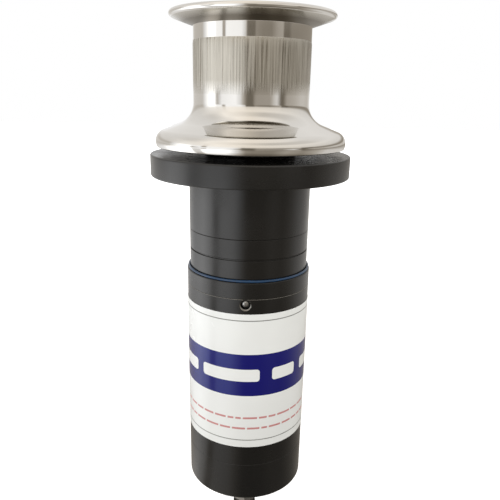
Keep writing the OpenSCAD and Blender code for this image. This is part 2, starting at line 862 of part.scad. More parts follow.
drum_barrel();
drum_top_flange();
drum_screws();
drum_bush();
clutch_nut();
upper_clutch_cone();
lower_clutch_cone();
shaft_keys();
main_shaft();
shaft_circlip();
bearing_spacer();
shaft_seal();
shaft_bearing_outer_rings();
shaft_bearing_inner_rings();
shaft_bearing_balls();
base_flange();
flange_screws();
gearbox_housing();
gearbox_bolts();
output_ring_gear();
output_carrier();
output_planet_pins();
output_planet(0);  // output_planet_gear_1
output_planet(1);  // output_planet_gear_2
output_planet(2);  // output_planet_gear_3
output_bush(0);  // output_planet_bush_1
output_bush(1);  // output_planet_bush_2
output_bush(2);  // output_planet_bush_3
output_sun_gear();
input_carrier();
input_planet_pins();
input_ring_gear();
input_planet(0);  // input_planet_gear_1
input_planet(1);  // input_planet_gear_2
input_planet(2);  // input_planet_gear_3
input_sun_pinion();
gearbox_seal_ring();
motor_front_bell();
bell_screws();
motor_shaft_seal();
motor_tube();
motor_label();
magnets();
armature_shaft();
armature_core();
armature_windings();
commutator();
motor_bearing_outer_rings();
motor_bearing_inner_rings();
motor_bearing_balls();
brush_plate();
brush_holders();
brushes();
brush_springs();
motor_end_cap();
tie_bolts();
terminal_studs();
terminal_insulators();
terminal_washers();
terminal_nuts();
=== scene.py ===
"""Vertical anchor windlass: the looks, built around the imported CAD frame.

Lengths are in millimetres until they reach a mesh, where MM turns them into metres.
Z is the shaft's axis, and Z = 0 is the underside of the deck flange.
"""
import json
import math
import random
from functools import partial

import bmesh
import bpy
from mathutils import Matrix, Vector


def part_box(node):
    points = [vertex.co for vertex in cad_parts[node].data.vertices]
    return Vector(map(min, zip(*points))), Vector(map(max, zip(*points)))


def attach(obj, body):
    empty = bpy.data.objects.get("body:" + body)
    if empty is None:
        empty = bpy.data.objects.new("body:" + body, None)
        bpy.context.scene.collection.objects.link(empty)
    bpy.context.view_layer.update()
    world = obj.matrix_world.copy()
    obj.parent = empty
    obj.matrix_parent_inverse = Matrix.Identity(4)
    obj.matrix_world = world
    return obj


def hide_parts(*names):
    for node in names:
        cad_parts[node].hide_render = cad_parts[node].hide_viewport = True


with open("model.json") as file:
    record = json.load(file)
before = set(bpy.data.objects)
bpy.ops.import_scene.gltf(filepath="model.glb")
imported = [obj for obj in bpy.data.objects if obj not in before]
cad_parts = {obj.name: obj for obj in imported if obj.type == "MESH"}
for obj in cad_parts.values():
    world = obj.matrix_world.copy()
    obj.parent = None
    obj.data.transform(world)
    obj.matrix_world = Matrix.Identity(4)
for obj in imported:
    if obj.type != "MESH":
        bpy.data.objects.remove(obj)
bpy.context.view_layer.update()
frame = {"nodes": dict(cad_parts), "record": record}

MM = 0.001
TAU = 2 * math.pi


def low(node):
    """The lowest height of a CAD node, in millimetres."""
    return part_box(node)[0].z / MM


def high(node):
    """The highest height of a CAD node, in millimetres."""
    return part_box(node)[1].z / MM


# ---- Heights and radii, in millimetres ----

FLANGE_R = 80.0
BOSS_R = 36.0
FLANGE_TOP = 17.0
BOSS_TOP = high("base_flange")
SEAL_R = 21.0
SEAL_BOTTOM = low("shaft_seal")
BEARING_R = 26.0
UPPER_BEARING_TOP = high("shaft_bearing_outer_rings")

WAIST_R = 45.3
BAND_R = 45.0
UPPER_WALL_R = 36.0
SKIRT_Z = low("drum_barrel")
NECK_Z = high("drum_barrel")
LIP_Z = high("drum_top_flange")
LIP_OUTER_R = 63.0
GRIP_LOW = 61.0
GRIP_FADE = 11.0
# Painted shade on the flange's underside is full inside DULL_AND_SHADE_R and gone by BRIGHT_R; roughness
# changes over the same span.
DULL_AND_SHADE_R = 52.0
BRIGHT_R = 61.0

GEARBOX_R = 49.5
OUT_RING_Z = low("gearbox_housing")
IN_RING_Z = low("output_ring_gear")
BELL_Z = low("input_ring_gear")
MOTOR_R = 52.0
TUBE_WALL = 4.0
SPIGOT_R = 47.9
SPIGOT_DEPTH = 12.0
TUBE_TOP = high("motor_tube")
TUBE_BOTTOM = low("motor_tube")
BOTTOM_Z = low("motor_end_cap")
CAP_FLOOR_Z = BOTTOM_Z + 11.5
LABEL_TOP = high("motor_label")
LABEL_BOTTOM = low("motor_label")
LABEL_R = MOTOR_R + 0.2
LABEL_END = 177
PRINT_LIFT = 0.02
BELL_SCREW_Z = (low("bell_screws") + high("bell_screws")) / 2
BELL_SCREW_ANGLES = [math.radians(-92 + 90 * k) for k in range(4)]
RECESS_R = 4.0
RECESS_LIP = 0.9
STUD_R = 5.0
STUD_END = low("terminal_studs")


def spots(count, radius, start=0.0):
    """Evenly spaced (x, y) places round the axis, from a bearing in degrees."""
    angles = [math.radians(start + 360 * i / count) for i in range(count)]
    return [(radius * math.cos(a), radius * math.sin(a)) for a in angles]


# Where the fasteners and terminals stand, as (x, y) places.
DRUM_SCREWS = spots(4, 40.5, 45)
NUT_FLUTES = spots(8, 26, 22.5)
DECK_HOLES = spots(4, 65, 45)
FLANGE_SCREWS = spots(6, 43)
GEARBOX_BOLTS = spots(6, 44.3, 30)
TIE_BOLTS = spots(2, 42.5, 45)
TERMINALS = spots(2, 31, 90)


# ---- Materials ----

def new_material(name, base, metallic, roughness):
    """A Principled material with flat values on its own sockets. Node trees are added after."""
    material = bpy.data.materials.new(name)
    material.use_nodes = True
    shader = material.node_tree.nodes["Principled BSDF"]
    shader.inputs["Base Color"].default_value = (*base, 1)
    shader.inputs["Metallic"].default_value = metallic
    shader.inputs["Roughness"].default_value = roughness
    material.diffuse_color = (*base, 1)
    return material


def stretched_noise(material, scale, stretch=(1, 1, 1), detail=4.0):
    """A noise texture in object space. A factor below 1 stretches it along that axis."""
    nodes, links = material.node_tree.nodes, material.node_tree.links
    space = nodes.new("ShaderNodeTexCoord")
    mapping = nodes.new("ShaderNodeMapping")
    mapping.inputs["Scale"].default_value = stretch
    noise = nodes.new("ShaderNodeTexNoise")
    noise.inputs["Scale"].default_value = scale
    noise.inputs["Detail"].default_value = detail
    links.new(space.outputs["Object"], mapping.inputs["Vector"])
    links.new(mapping.outputs["Vector"], noise.inputs["Vector"])
    return noise


def map_range(material, value, start=0.0, end=1.0, lowest=0.0, highest=1.0):
    """A Map Range node that takes value from start..end to lowest..highest."""
    node = material.node_tree.nodes.new("ShaderNodeMapRange")
    node.inputs["From Min"].default_value = start
    node.inputs["From Max"].default_value = end
    node.inputs["To Min"].default_value = lowest
    node.inputs["To Max"].default_value = highest
    material.node_tree.links.new(value, node.inputs["Value"])
    return node


def tone_ramp(material, value, dark, light, start=0.0, end=1.0):
    """A colour ramp from dark at start to light at end."""
    ramp = material.node_tree.nodes.new("ShaderNodeValToRGB")
    for stop, position, colour in zip(ramp.color_ramp.elements, (start, end), (dark, light)):
        stop.position = position
        stop.color = (*colour, 1)
    material.node_tree.links.new(value, ramp.inputs["Fac"])
    return ramp


def feed(material, output, socket):
    """Links a node's output to one of the shader's sockets."""
    shader = material.node_tree.nodes["Principled BSDF"]
    material.node_tree.links.new(output, shader.inputs[socket])


def vary_roughness(material, noise, lowest, highest):
    """Roughness that follows a noise."""
    spread = map_range(material, noise.outputs["Fac"], 0.35, 0.65, lowest, highest)
    feed(material, spread.outputs["Result"], "Roughness")


def vary_colour(material, noise, dark, light):
    """A base colour that follows a noise."""
    tone = tone_ramp(material, noise.outputs["Fac"], dark, light, 0.3, 0.7)
    feed(material, tone.outputs["Color"], "Base Color")


def add_bump(material, noise, depth, strength=0.5):
    """Bumps of about depth metres, chained after any bump that is already there."""
    nodes, links = material.node_tree.nodes, material.node_tree.links
    bump = nodes.new("ShaderNodeBump")
    bump.inputs["Strength"].default_value = strength
    bump.inputs["Distance"].default_value = depth
    links.new(noise.outputs["Fac"], bump.inputs["Height"])
    socket = nodes["Principled BSDF"].inputs["Normal"]
    if socket.is_linked:
        links.new(socket.links[0].from_socket, bump.inputs["Normal"])
    links.new(bump.outputs["Normal"], socket)


def polished_steel():
    """Mirror-polished stainless steel with soft polishing haze and fine scratches."""
    m = new_material("polished_steel", (0.70, 0.685, 0.66), 1.0, 0.07)
    vary_roughness(m, stretched_noise(m, 45, detail=6), 0.045, 0.11)
    add_bump(m, stretched_noise(m, 22, detail=2), 0.00012, 0.25)
    add_bump(m, stretched_noise(m, 900, (1, 1, 0.04), 3), 0.00001, 0.15)
    return m


def brushed_grip():
    """The waist: the same steel, with vertical brushing that fades out at its lower end."""
    m = new_material("grip_steel", (0.55, 0.53, 0.49), 1.0, 0.25)
    nodes, links = m.node_tree.nodes, m.node_tree.links
    streak = stretched_noise(m, 1000, (1, 1, 0.015), 3).outputs["Fac"]
    space = nodes.new("ShaderNodeTexCoord")
    axes = nodes.new("ShaderNodeSeparateXYZ")
    links.new(space.outputs["Object"], axes.inputs["Vector"])
    fade = map_range(m, axes.outputs["Z"], GRIP_LOW * MM, (GRIP_LOW + GRIP_FADE) * MM).outputs["Result"]
    rough = map_range(m, streak, 0.3, 0.7, 0.16, 0.60)
    blend = map_range(m, fade, lowest=0.08)
    links.new(rough.outputs["Result"], blend.inputs["To Max"])
    feed(m, blend.outputs["Result"], "Roughness")
    tone = tone_ramp(m, streak, (0.33, 0.31, 0.27), (0.58, 0.56, 0.51), 0.34, 0.66)
    colour = nodes.new("ShaderNodeMix")
    colour.data_type = "RGBA"
    colour.inputs["A"].default_value = (0.68, 0.665, 0.635, 1)
    links.new(fade, colour.inputs["Factor"])
    links.new(tone.outputs["Color"], colour.inputs["B"])
    feed(m, colour.outputs["Result"], "Base Color")
    add_bump(m, stretched_noise(m, 1200, (1, 1, 0.02), 5), 0.00004, 0.5)
    return m


def turned_metal(name, base, roughness=0.3, metallic=1.0):
    """Machined metal with fine turning marks round the axis and a little staining."""
    m = new_material(name, base, metallic, roughness)
    vary_roughness(m, stretched_noise(m, 120, detail=6), roughness * 0.75, roughness * 1.3)
    add_bump(m, stretched_noise(m, 900, (0.02, 0.02, 1), 3), 0.00002, 0.35)
    darker = tuple(c * 0.82 for c in base)
    vary_colour(m, stretched_noise(m, 60, detail=5), darker, base)
    return m


def satin_black(name, base=0.02, roughness=0.36, grain=600):
    """Black anodising or paint: near-black, satin, with fine grain and soft handling marks."""
    m = new_material(name, (base, base, base * 0.97), 0.0, roughness)
    vary_roughness(m, stretched_noise(m, 38, detail=7), roughness * 0.82, roughness * 1.2)
    worn = (base * 1.35, base * 1.3, base * 1.2)
    vary_colour(m, stretched_noise(m, 24, detail=5), (base * 0.8,) * 3, worn)
    add_bump(m, stretched_noise(m, grain, detail=3), 0.00003, 0.3)
    return m


def vinyl(name, base, roughness=0.32, sheen=None):
    """Printed gloss vinyl, very slightly rippled over the tube. sheen tints what it mirrors."""
    m = new_material(name, base, 0.0, roughness)
    if sheen:
        shader = m.node_tree.nodes["Principled BSDF"]
        shader.inputs["Specular IOR Level"].default_value = 0.9
        shader.inputs["Specular Tint"].default_value = (*sheen, 1)
    vary_roughness(m, stretched_noise(m, 30, detail=4), roughness * 0.8, roughness * 1.25)
    vary_colour(m, stretched_noise(m, 14, detail=4), tuple(c * 0.93 for c in base), base)
    add_bump(m, stretched_noise(m, 26, (1, 1, 0.4), 2), 0.0001, 0.12)
    return m


def rubber(name, base, roughness=0.5):
    """Rubber, ferrite, carbon or moulded plastic: matt and faintly mottled."""
    m = new_material(name, base, 0.0, roughness)
    vary_roughness(m, stretched_noise(m, 90, detail=5), roughness * 0.8, roughness * 1.2)
    vary_colour(m, stretched_noise(m, 70, detail=4), tuple(c * 0.75 for c in base), base)
    add_bump(m, stretched_noise(m, 700, detail=3), 0.00003, 0.3)
    return m


def painted_shade_underside_steel():
    """The underside of the top flange: rougher near the neck, with painted shade darkening its colour there,
    and bright out by its lip.
    """
    m = new_material("painted_shade_underside_steel", (0.45, 0.43, 0.39), 1.0, 0.09)
    nodes, links = m.node_tree.nodes, m.node_tree.links
    space = nodes.new("ShaderNodeTexCoord")
    flat = nodes.new("ShaderNodeVectorMath")
    flat.operation = "MULTIPLY"
    flat.inputs[1].default_value = (1, 1, 0)
    radius = nodes.new("ShaderNodeVectorMath")
    radius.operation = "LENGTH"
    links.new(space.outputs["Object"], flat.inputs[0])
    links.new(flat.outputs["Vector"], radius.inputs[0])
    outward = map_range(m, radius.outputs["Value"], DULL_AND_SHADE_R * MM, BRIGHT_R * MM).outputs["Result"]
    # Painted shade: the base colour darkens from the lip in towards the neck, under the overhang.
    tone = tone_ramp(m, outward, (0.14, 0.12, 0.09), (0.46, 0.44, 0.395))
    feed(m, tone.outputs["Color"], "Base Color")
    feed(m, map_range(m, outward, lowest=0.3, highest=0.1).outputs["Result"], "Roughness")
    return m


MATERIALS = {
    "polished_steel": polished_steel(),
    "plain_steel": turned_metal("plain_steel", (0.58, 0.58, 0.59), 0.28),
    "bearing_steel": turned_metal("bearing_steel", (0.72, 0.73, 0.75), 0.12),
    "fastener_steel": turned_metal("fastener_steel", (0.66, 0.655, 0.64), 0.24),
    "black_fastener": turned_metal("black_fastener", (0.05, 0.05, 0.052), 0.38, 0.8),
    "bronze": turned_metal("bronze", (0.70, 0.46, 0.22), 0.3),
    "clutch_metal": turned_metal("clutch_metal", (0.34, 0.33, 0.32), 0.42),
    "gear_steel": turned_metal("gear_steel", (0.44, 0.44, 0.46), 0.34),
    "black_body": satin_black("black_body", 0.005, 0.25),
    "black_paint": satin_black("black_paint", 0.0045, 0.24, 420),
    "seal_rubber": rubber("seal_rubber", (0.16, 0.075, 0.04), 0.5),
    "blue_rubber": rubber("blue_rubber", (0.018, 0.055, 0.125), 0.2),
    "label_vinyl": vinyl("label_vinyl", (0.865, 0.895, 0.9), 0.22),
    "ferrite": rubber("ferrite", (0.06, 0.06, 0.065), 0.6),
    "lamination": turned_metal("lamination", (0.36, 0.36, 0.38), 0.4),
    "copper": turned_metal("copper", (0.72, 0.27, 0.12), 0.3),
    "commutator_copper": turned_metal("commutator_copper", (0.80, 0.40, 0.22), 0.2),
    "brass": turned_metal("brass", (0.76, 0.57, 0.25), 0.28),
    "carbon": rubber("carbon", (0.03, 0.03, 0.032), 0.7),
    "phenolic": rubber("phenolic", (0.17, 0.06, 0.03), 0.45),
    "red_insulator": rubber("red_insulator", (0.30, 0.02, 0.015), 0.42),
}
GRIP_STEEL = brushed_grip()
PAINTED_SHADE_UNDERSIDE_STEEL = painted_shade_underside_steel()
BARE_EDGE = turned_metal("bare_edge", (0.30, 0.29, 0.27), 0.35)
ZINC = turned_metal("zinc", (0.43, 0.425, 0.41), 0.34)
LABEL_BLUE = vinyl("label_blue", (0.007, 0.006, 0.145), 0.16, (0.5, 0.6, 1.0))
LABEL_GREY = vinyl("label_grey", (0.20, 0.21, 0.20), 0.4)
LABEL_RED = vinyl("label_red", (0.60, 0.27, 0.27), 0.4)


def slot_of(node):
    """The record's material slot of a CAD node."""
    return next(s["material_slot"] for s in frame["record"]["subparts"] if s["node"] == node)


for name, obj in frame["nodes"].items():
    obj.data.materials.clear()
    obj.data.materials.append(MATERIALS[slot_of(name)])


# ---- Making meshes ----

def rounded(corners, steps=5):
    """A closed outline from (r, z, rounding) corners: each corner with a rounding becomes an arc.

    Straight stretches get a point near each end, guard away from it, so that smooth shading stays
    on the arcs.
    """
    guard = 0.2
    outline = []
    count = len(corners)
    for i, (r, z, fillet) in enumerate(corners):
        here = Vector((r, z))
        before = Vector(corners[i - 1][:2]) - here
        after = Vector(corners[(i + 1) % count][:2]) - here
        a, b = before.normalized(), after.normalized()
        if fillet <= 0:
            outline.append(here + a * min(guard, before.length / 3))
            outline.append(here)
            outline.append(here + b * min(guard, after.length / 3))
            continue
        half = math.acos(max(-1, min(1, a.dot(b)))) / 2
        reach = min(fillet / math.tan(half), before.length * 0.49, after.length * 0.49)
        radius = reach * math.tan(half)
        centre = here + (a + b).normalized() * radius / math.sin(half)
        start, end = here + a * reach, here + b * reach
        a0 = math.atan2(start.y - centre.y, start.x - centre.x)
        turn = math.atan2(end.y - centre.y, end.x - centre.x) - a0
        turn = (turn + math.pi) % TAU - math.pi
        outline.append(start + a * min(guard, (before.length - reach) / 3))
        for k in range(steps + 1):
            angle = a0 + turn * k / steps
            outline.append(centre + Vector((math.cos(angle), math.sin(angle))) * radius)
        outline.append(end + b * min(guard, (after.length - reach) / 3))
    return [(p.x, p.y) for p in outline]


def arc(cr, cz, radius, start, end, steps=12):
    """Points on an arc in the (r, z) plane, between two angles in degrees."""
    angles = [math.radians(start + (end - start) * k / steps) for k in range(steps + 1)]
    return [(cr + radius * math.cos(a), cz + radius * math.sin(a)) for a in angles]


def new_object(name, data):
    """A new object in the scene."""
    obj = bpy.data.objects.new(name, data)
    bpy.context.scene.collection.objects.link(obj)
    return obj


def to_mesh(name, bm, weld=False):
    """Turns bm into a mesh. weld: doubled points are joined first, and the faces turned outwards."""
    if weld:
        bmesh.ops.remove_doubles(bm, verts=bm.verts, dist=1e-7)
        bmesh.ops.recalc_face_normals(bm, faces=bm.faces)
    mesh = bpy.data.meshes.new(name)
    bm.to_mesh(mesh)
    bm.free()
    return mesh


def shade(mesh, sharp):
    """Smooth shading, except at edges sharper than so many degrees."""
    mesh.shade_smooth()
    mesh.set_sharp_from_angle(angle=math.radians(sharp))


def link(name, mesh, material, sharp=32):
    """A new shaded object from a mesh."""
    obj = new_object(name, mesh)
    mesh.materials.append(material)
    shade(mesh, sharp)
    return obj


def skin(bm, columns):
    """Joins each column of points, a closed loop, to the next one with faces."""
    for one, two in zip(columns, columns[1:]):
        for k in range(len(one)):
            m = (k + 1) % len(one)
            bm.faces.new((one[k], two[k], two[m], one[m]))


def lathe_mesh(name, outline, segments, shape=None, centre=(0, 0)):
    """Turns a closed (r, z) outline round the axis. shape(r, z, angle) may move a point's radius."""
    bm = bmesh.new()
    columns = []
    for s in range(segments):
        angle = TAU * s / segments
        column = []
        for r, z in outline:
            rr = shape(r, z, angle) if shape else r
            at = (centre[0] + rr * math.cos(angle), centre[1] + rr * math.sin(angle), z)
            column.append(bm.verts.new([c * MM for c in at]))
        columns.append(column)
    skin(bm, columns + columns[:1])
    return to_mesh(name, bm, weld=True)


def cylinder_mesh(bm, radius, z_low, z_high, at=(0, 0), sides=48, turn=0.0, across=None, flare=0.0):
    """Adds a capped cylinder to bm. across lays it along +X at an angle round the axis instead."""
    made = bmesh.ops.create_cone(
        bm, cap_ends=True, segments=sides, radius1=radius * MM, radius2=(radius + flare) * MM,
        depth=(z_high - z_low) * MM)
    middle = (z_low + z_high) / 2
    if across is None:
        matrix = Matrix.Translation(Vector((at[0], at[1], middle)) * MM) @ Matrix.Rotation(turn, 4, "Z")
    else:
        angle, height = across
        matrix = (Matrix.Rotation(angle, 4, "Z") @ Matrix.Translation(Vector((middle, 0, height)) * MM)
                  @ Matrix.Rotation(math.pi / 2, 4, "Y"))
    bmesh.ops.transform(bm, matrix=matrix, verts=made["verts"])


def cut(obj, build, sharp=32, crossing=False):
    """Cuts the solid that build(bm) makes out of obj, for good. crossing: its shapes cross each other."""
    bm = bmesh.new()
    build(bm)
    tool = new_object("cutter", to_mesh("cutter", bm))
    modifier = obj.modifiers.new("cut", "BOOLEAN")
    modifier.operation = "DIFFERENCE"
    modifier.solver = "EXACT"
    modifier.use_self = crossing
    modifier.object = tool
    graph = bpy.context.evaluated_depsgraph_get()
    mesh = bpy.data.meshes.new_from_object(obj.evaluated_get(graph))
    if not mesh.polygons:
        raise RuntimeError(obj.name + ": the cut left nothing")
    obj.modifiers.clear()
    old = obj.data
    obj.data = mesh
    bpy.data.meshes.remove(old)
    bpy.data.objects.remove(tool)
    shade(mesh, sharp)


def drill(obj, *holes, sharp=32):
    """Cuts upright holes in one go, each set given as (places, radius, lowest z, highest z)."""
    def build(bm):
        for places, radius, z_low, z_high in holes:
            for at in places:
                cylinder_mesh(bm, radius, z_low, z_high, at)

    cut(obj, build, sharp)


def drill_across(obj, radius, r_low, r_high, flare=0.0):
    """Cuts the bell screws' radial holes, from one distance off the axis to another."""
    def build(bm):
        for angle in BELL_SCREW_ANGLES:
            cylinder_mesh(bm, radius, r_low, r_high, across=(angle, BELL_SCREW_Z), flare=flare)

    cut(obj, build)


def merge(name, objs):
    """Joins objects into one piece, keeping each face's material."""
    bm = bmesh.new()
    materials = []
    for obj in objs:
        for material in obj.data.materials:
            if material not in materials:
                materials.append(material)
        done = len(bm.faces)
        bm.from_mesh(obj.data)
        bm.faces.ensure_lookup_table()
        for face in bm.faces[done:]:
            face.material_index = materials.index(obj.data.materials[face.material_index])
        bpy.data.objects.remove(obj)
    mesh = to_mesh(name, bm)
    for material in materials:
        mesh.materials.append(material)
    return new_object(name, mesh)


def place(piece, body, slot, *nodes):
    """Rides a finished piece on its body, in place of CAD nodes. Its slot argument is not used."""
    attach(piece, body)
    if nodes:
        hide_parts(*nodes)
    return piece


def turned(name, corners, slot, node, segments=256):
    """A lathe piece on the housing from (r, z, rounding) corners, in place of a CAD node."""
    mesh = lathe_mesh(name, rounded(corners), segments)
    return place(link(name, mesh, MATERIALS[slot]), "housing", slot, node)


# ---- Camera ----

def make_camera():
    """The photograph's view: slightly above the motor, just under the drum's rim."""
    stand = (0, -0.46863, 0.06494)
    pitch, yaw, roll = (math.radians(a) for a in (18.93, 0.208, -1.078))
    ahead = Vector((math.sin(yaw), math.cos(yaw), 0))
    forward = math.cos(pitch) * ahead - math.sin(pitch) * Vector((0, 0, 1))
    level = Vector((math.cos(yaw), -math.sin(yaw), 0))
    down = forward.cross(level)
    right = math.cos(roll) * level + math.sin(roll) * down
    below = -math.sin(roll) * level + math.cos(roll) * down
    data = bpy.data.cameras.new("camera")
    data.sensor_width = 36
    data.lens = 40.884
    data.shift_y = 0.0706
    data.clip_start = 0.01
    camera = new_object("camera", data)
    turn = Matrix((right, -below, -forward)).transposed().to_4x4()
    camera.matrix_world = Matrix.Translation(stand) @ turn
    bpy.context.scene.camera = camera


make_camera()


# ---- Studio ----

# What the studio sends the object, as (bearing, strength). Bearing 0 is the camera's side, and it
# grows towards the camera's right: bright windows on the left, a dark gap behind the camera and
# dim warm walls on the right. The low wall is the strip that the foot of the waist mirrors, and the
# high one is the ring below the ceiling that the flare mirrors. The floor is brightest of all.
WALL_GLOW = [
    (-180, 1.1), (-165, 1.0), (-150, 0.7), (-140, 0.65), (-108, 0.65), (-98, 1.1), (-88, 1.7), (-74, 1.7),
    (-70, 1.3), (-58, 1.25), (-56, 0.5), (-52, 0.5), (-49, 1.3), (-20, 1.25), (-12, 0.8), (-9, 0.2), (4, 0.2),
    (7, 0.36), (20, 0.3), (35, 0.29), (48, 0.45), (58, 0.5), (61, 0.2), (72, 0.2), (78, 0.3), (110, 0.33),
    (150, 0.35), (170, 0.45), (180, 1.1)]
LOW_WALL_GLOW = [
    (-180, 1.1), (-150, 0.75), (-108, 0.75), (-98, 1.2), (-88, 1.7), (-74, 1.7), (-69, 0.5), (-63, 0.5),
    (-59, 1.2), (-25, 1.35), (-16, 0.6), (-8, 0.2), (2, 0.2), (8, 0.44), (38, 0.46), (44, 0.85), (51, 0.85),
    (55, 0.2), (66, 0.2), (71, 0.5), (90, 0.58), (115, 0.74), (140, 0.64), (180, 1.1)]
HIGH_GLOW = [
    (-180, 0.95), (-120, 0.9), (-95, 0.85), (-80, 0.95), (-60, 1.25), (-27, 1.12), (0, 0.9), (27, 0.74),
    (53, 0.78), (90, 0.82), (115, 0.93), (180, 0.95)]
FLOOR_GLOW = [
    (-180, 0.7), (-147, 0.9), (-126, 1.1), (-111, 1.8), (-95, 2.8), (-80, 2.6), (-73, 2.2), (-69, 0.9),
    (-60, 0.9), (-56, 1.9), (-45, 2.0), (-30, 1.9), (-17, 1.0), (-6, 0.35), (2, 0.3), (25, 0.3), (41, 0.45),
    (63, 0.35), (80, 0.5), (100, 0.8), (140, 0.8), (180, 0.7)]
CEILING_GLOW = [
    (-180, 0.95), (-120, 0.9), (-70, 1.1), (-40, 1.28), (-20, 1.2), (5, 1.1), (60, 1.05), (120, 0.98),
    (180, 0.95)]
WARM = (1.0, 0.84, 0.62)
CEILING_WARM = Vector((1.0, 0.925, 0.82))
CEILING_COOL = Vector((1, 0.98, 0.95))
UNDER_FILL = Vector((0.13, 0.125, 0.12))
ROOM_R = 1.5
ROOM_TOP = 1.5
ROOM_LOW = (STUD_END - 0.2) * MM
FLOOR_Z = (STUD_END - 0.5) * MM


def strength_at(table, bearing):
    """The strength at a bearing, between the table's two nearest entries."""
    for (b0, g0), (b1, g1) in zip(table, table[1:]):
        if b0 <= bearing <= b1:
            return g0 + (g1 - g0) * (bearing - b0) / (b1 - b0)


def glow_at(table, bearing, share=1.0):
    """The colour that comes from a bearing: warm where it is dim, and neutral where bright."""
    glow = share * strength_at(table, bearing)
    cool = min(1.0, glow)
    return Vector([glow * (w + (1 - w) * cool) for w in WARM])


def ceiling_at(bearing, table=CEILING_GLOW):
    """The ceiling is warm over the front, and neutral over the back."""
    cool = min(1.0, abs(bearing) / 130)
    return strength_at(table, bearing) * CEILING_WARM.lerp(CEILING_COOL, cool)


def make_room():
    """Soft light panels all round, over and under the object, unseen by the camera itself."""
    floor = partial(glow_at, FLOOR_GLOW)
    wall = partial(glow_at, WALL_GLOW)
    low_wall = partial(glow_at, LOW_WALL_GLOW)
    upper = partial(ceiling_at, table=HIGH_GLOW)
    levels = [
        (0.02, ROOM_LOW, lambda b: floor(b, 0.25) + UNDER_FILL),
        (0.35, ROOM_LOW, lambda b: floor(b, 0.5)),
        (0.70, ROOM_LOW, floor),
        (ROOM_R, ROOM_LOW, floor),
        (ROOM_R, -0.05, wall),
        (ROOM_R, 0.0, low_wall),
        (ROOM_R, 0.12, low_wall),
        (ROOM_R, 0.17, wall),
        (ROOM_R, 0.26, wall),
        (ROOM_R, 0.42, lambda b: wall(b).lerp(ceiling_at(b), 0.8)),
        (ROOM_R, 0.9, ceiling_at),
        (ROOM_R, 1.25, upper),
        (1.2, ROOM_TOP, upper),
        (0.8, ROOM_TOP, ceiling_at),
        (0.02, ROOM_TOP, lambda b: ceiling_at(0))]
    stops = sorted({b for b, _ in WALL_GLOW + FLOOR_GLOW} | set(range(-180, 181, 10)))
    bm = bmesh.new()
    colour = bm.loops.layers.float_color.new("glow")

    def corner(bearing, r, z):
        b = math.radians(bearing)
        return bm.verts.new((r * math.sin(b), -r * math.cos(b), z))

    for b0, b1 in zip(stops, stops[1:]):
        for (r0, z0, glow0), (r1, z1, glow1) in zip(levels, levels[1:]):
            places = ((b0, r0, z0), (b1, r0, z0), (b1, r1, z1), (b0, r1, z1))
            face = bm.faces.new([corner(*at) for at in places])
            for loop, glow in zip(face.loops, (glow0(b0), glow0(b1), glow1(b1), glow1(b0))):
                loop[colour] = (*glow, 1)
    room = new_object("light_panels", to_mesh("light_panels", bm))
    panel = bpy.data.materials.new("light_panels")
    panel.use_nodes = True
    nodes, links = panel.node_tree.nodes, panel.node_tree.links
    nodes.clear()
    tint = nodes.new("ShaderNodeAttribute")
    tint.attribute_name = "glow"
    glow = nodes.new("ShaderNodeEmission")
    out = nodes.new("ShaderNodeOutputMaterial")
    links.new(tint.outputs["Color"], glow.inputs["Color"])
    links.new(glow.outputs["Emission"], out.inputs["Surface"])
    room.data.materials.append(panel)
    room.visible_camera = False


def make_floor():
    """A plain pale floor, just under the lowest stud."""
    bm = bmesh.new()
    bmesh.ops.create_grid(bm, x_segments=1, y_segments=1, size=6)
    floor = new_object("floor", to_mesh("floor", bm))
    floor.location.z = FLOOR_Z
    pale = bpy.data.materials.new("pale_floor")
    pale.use_nodes = True
    shader = pale.node_tree.nodes["Principled BSDF"]
    shader.inputs["Base Color"].default_value = (0.92, 0.92, 0.92, 1)
    shader.inputs["Roughness"].default_value = 0.8
    shader.inputs["Emission Color"].default_value = (1, 1, 1, 1)
    shader.inputs["Emission Strength"].default_value = 1.0
    floor.data.materials.append(pale)


def make_fill():
    """A soft square lamp on the right that only fills: no surface mirrors it."""
    data = bpy.data.lights.new("fill_right", "AREA")
    data.energy = 6.0
    data.size = 0.8
    lamp = new_object("fill_right", data)
    lamp.location = (0.9, -0.9, 0.1)
    lamp.rotation_euler = (Vector((0, 0, -0.15)) - lamp.location).to_track_quat("-Z", "Y").to_euler()
    lamp.visible_camera = False
    lamp.visible_glossy = False


def make_studio():
    """A white world, the floor, the light panels and one fill lamp."""
    scene = bpy.context.scene
    scene.view_settings.view_transform = "Standard"
    scene.view_settings.look = "None"
    scene.view_settings.exposure = 0
    scene.world = bpy.data.worlds.new("studio")
    scene.world.use_nodes = True
    background = scene.world.node_tree.nodes["Background"]
    background.inputs["Color"].default_value = (1, 1, 1, 1)
    background.inputs["Strength"].default_value = 1.0
    make_floor()
    make_room()
    make_fill()


make_studio()


# ---- Drum ----

EDGE_ROUND = 9.2
EDGE_C = 75.4 - EDGE_ROUND
EDGE_Z = SKIRT_Z + 4.3
SLOPE = math.radians(20)
FLARE_ROUND = 17.0
DRUM_WALL = 4.5
TANGENT = (EDGE_C + EDGE_ROUND * math.sin(SLOPE), EDGE_Z + EDGE_ROUND * math.cos(SLOPE))
FLARE_END_R = WAIST_R + FLARE_ROUND * (1 - math.sin(SLOPE))
FLARE_C = WAIST_R + FLARE_ROUND
FLARE_Z = TANGENT[1] + (TANGENT[0] - FLARE_END_R) * math.tan(SLOPE) + FLARE_ROUND * math.cos(SLOPE)
BAND_Z = NECK_Z - 10.8
HUB_R = 31.0
WEB_Z = SKIRT_Z + 38
WEB_TOP = WEB_Z + 8
CONE_R = 28.15
CONE_TIP_R = 20.15
CONE_HEIGHT = 16.0
BUSH_R = 14.0
SEAT_Z = BOSS_TOP + 11
UPPER_SEAT_Z = low("upper_clutch_cone")
HUB_TOP = UPPER_SEAT_Z + CONE_HEIGHT
FLANGE_FACE_Z = LIP_Z - 0.8
FLANGE_SPIGOT_Z = NECK_Z - 6
FLANGE_BORE_R = 30.5


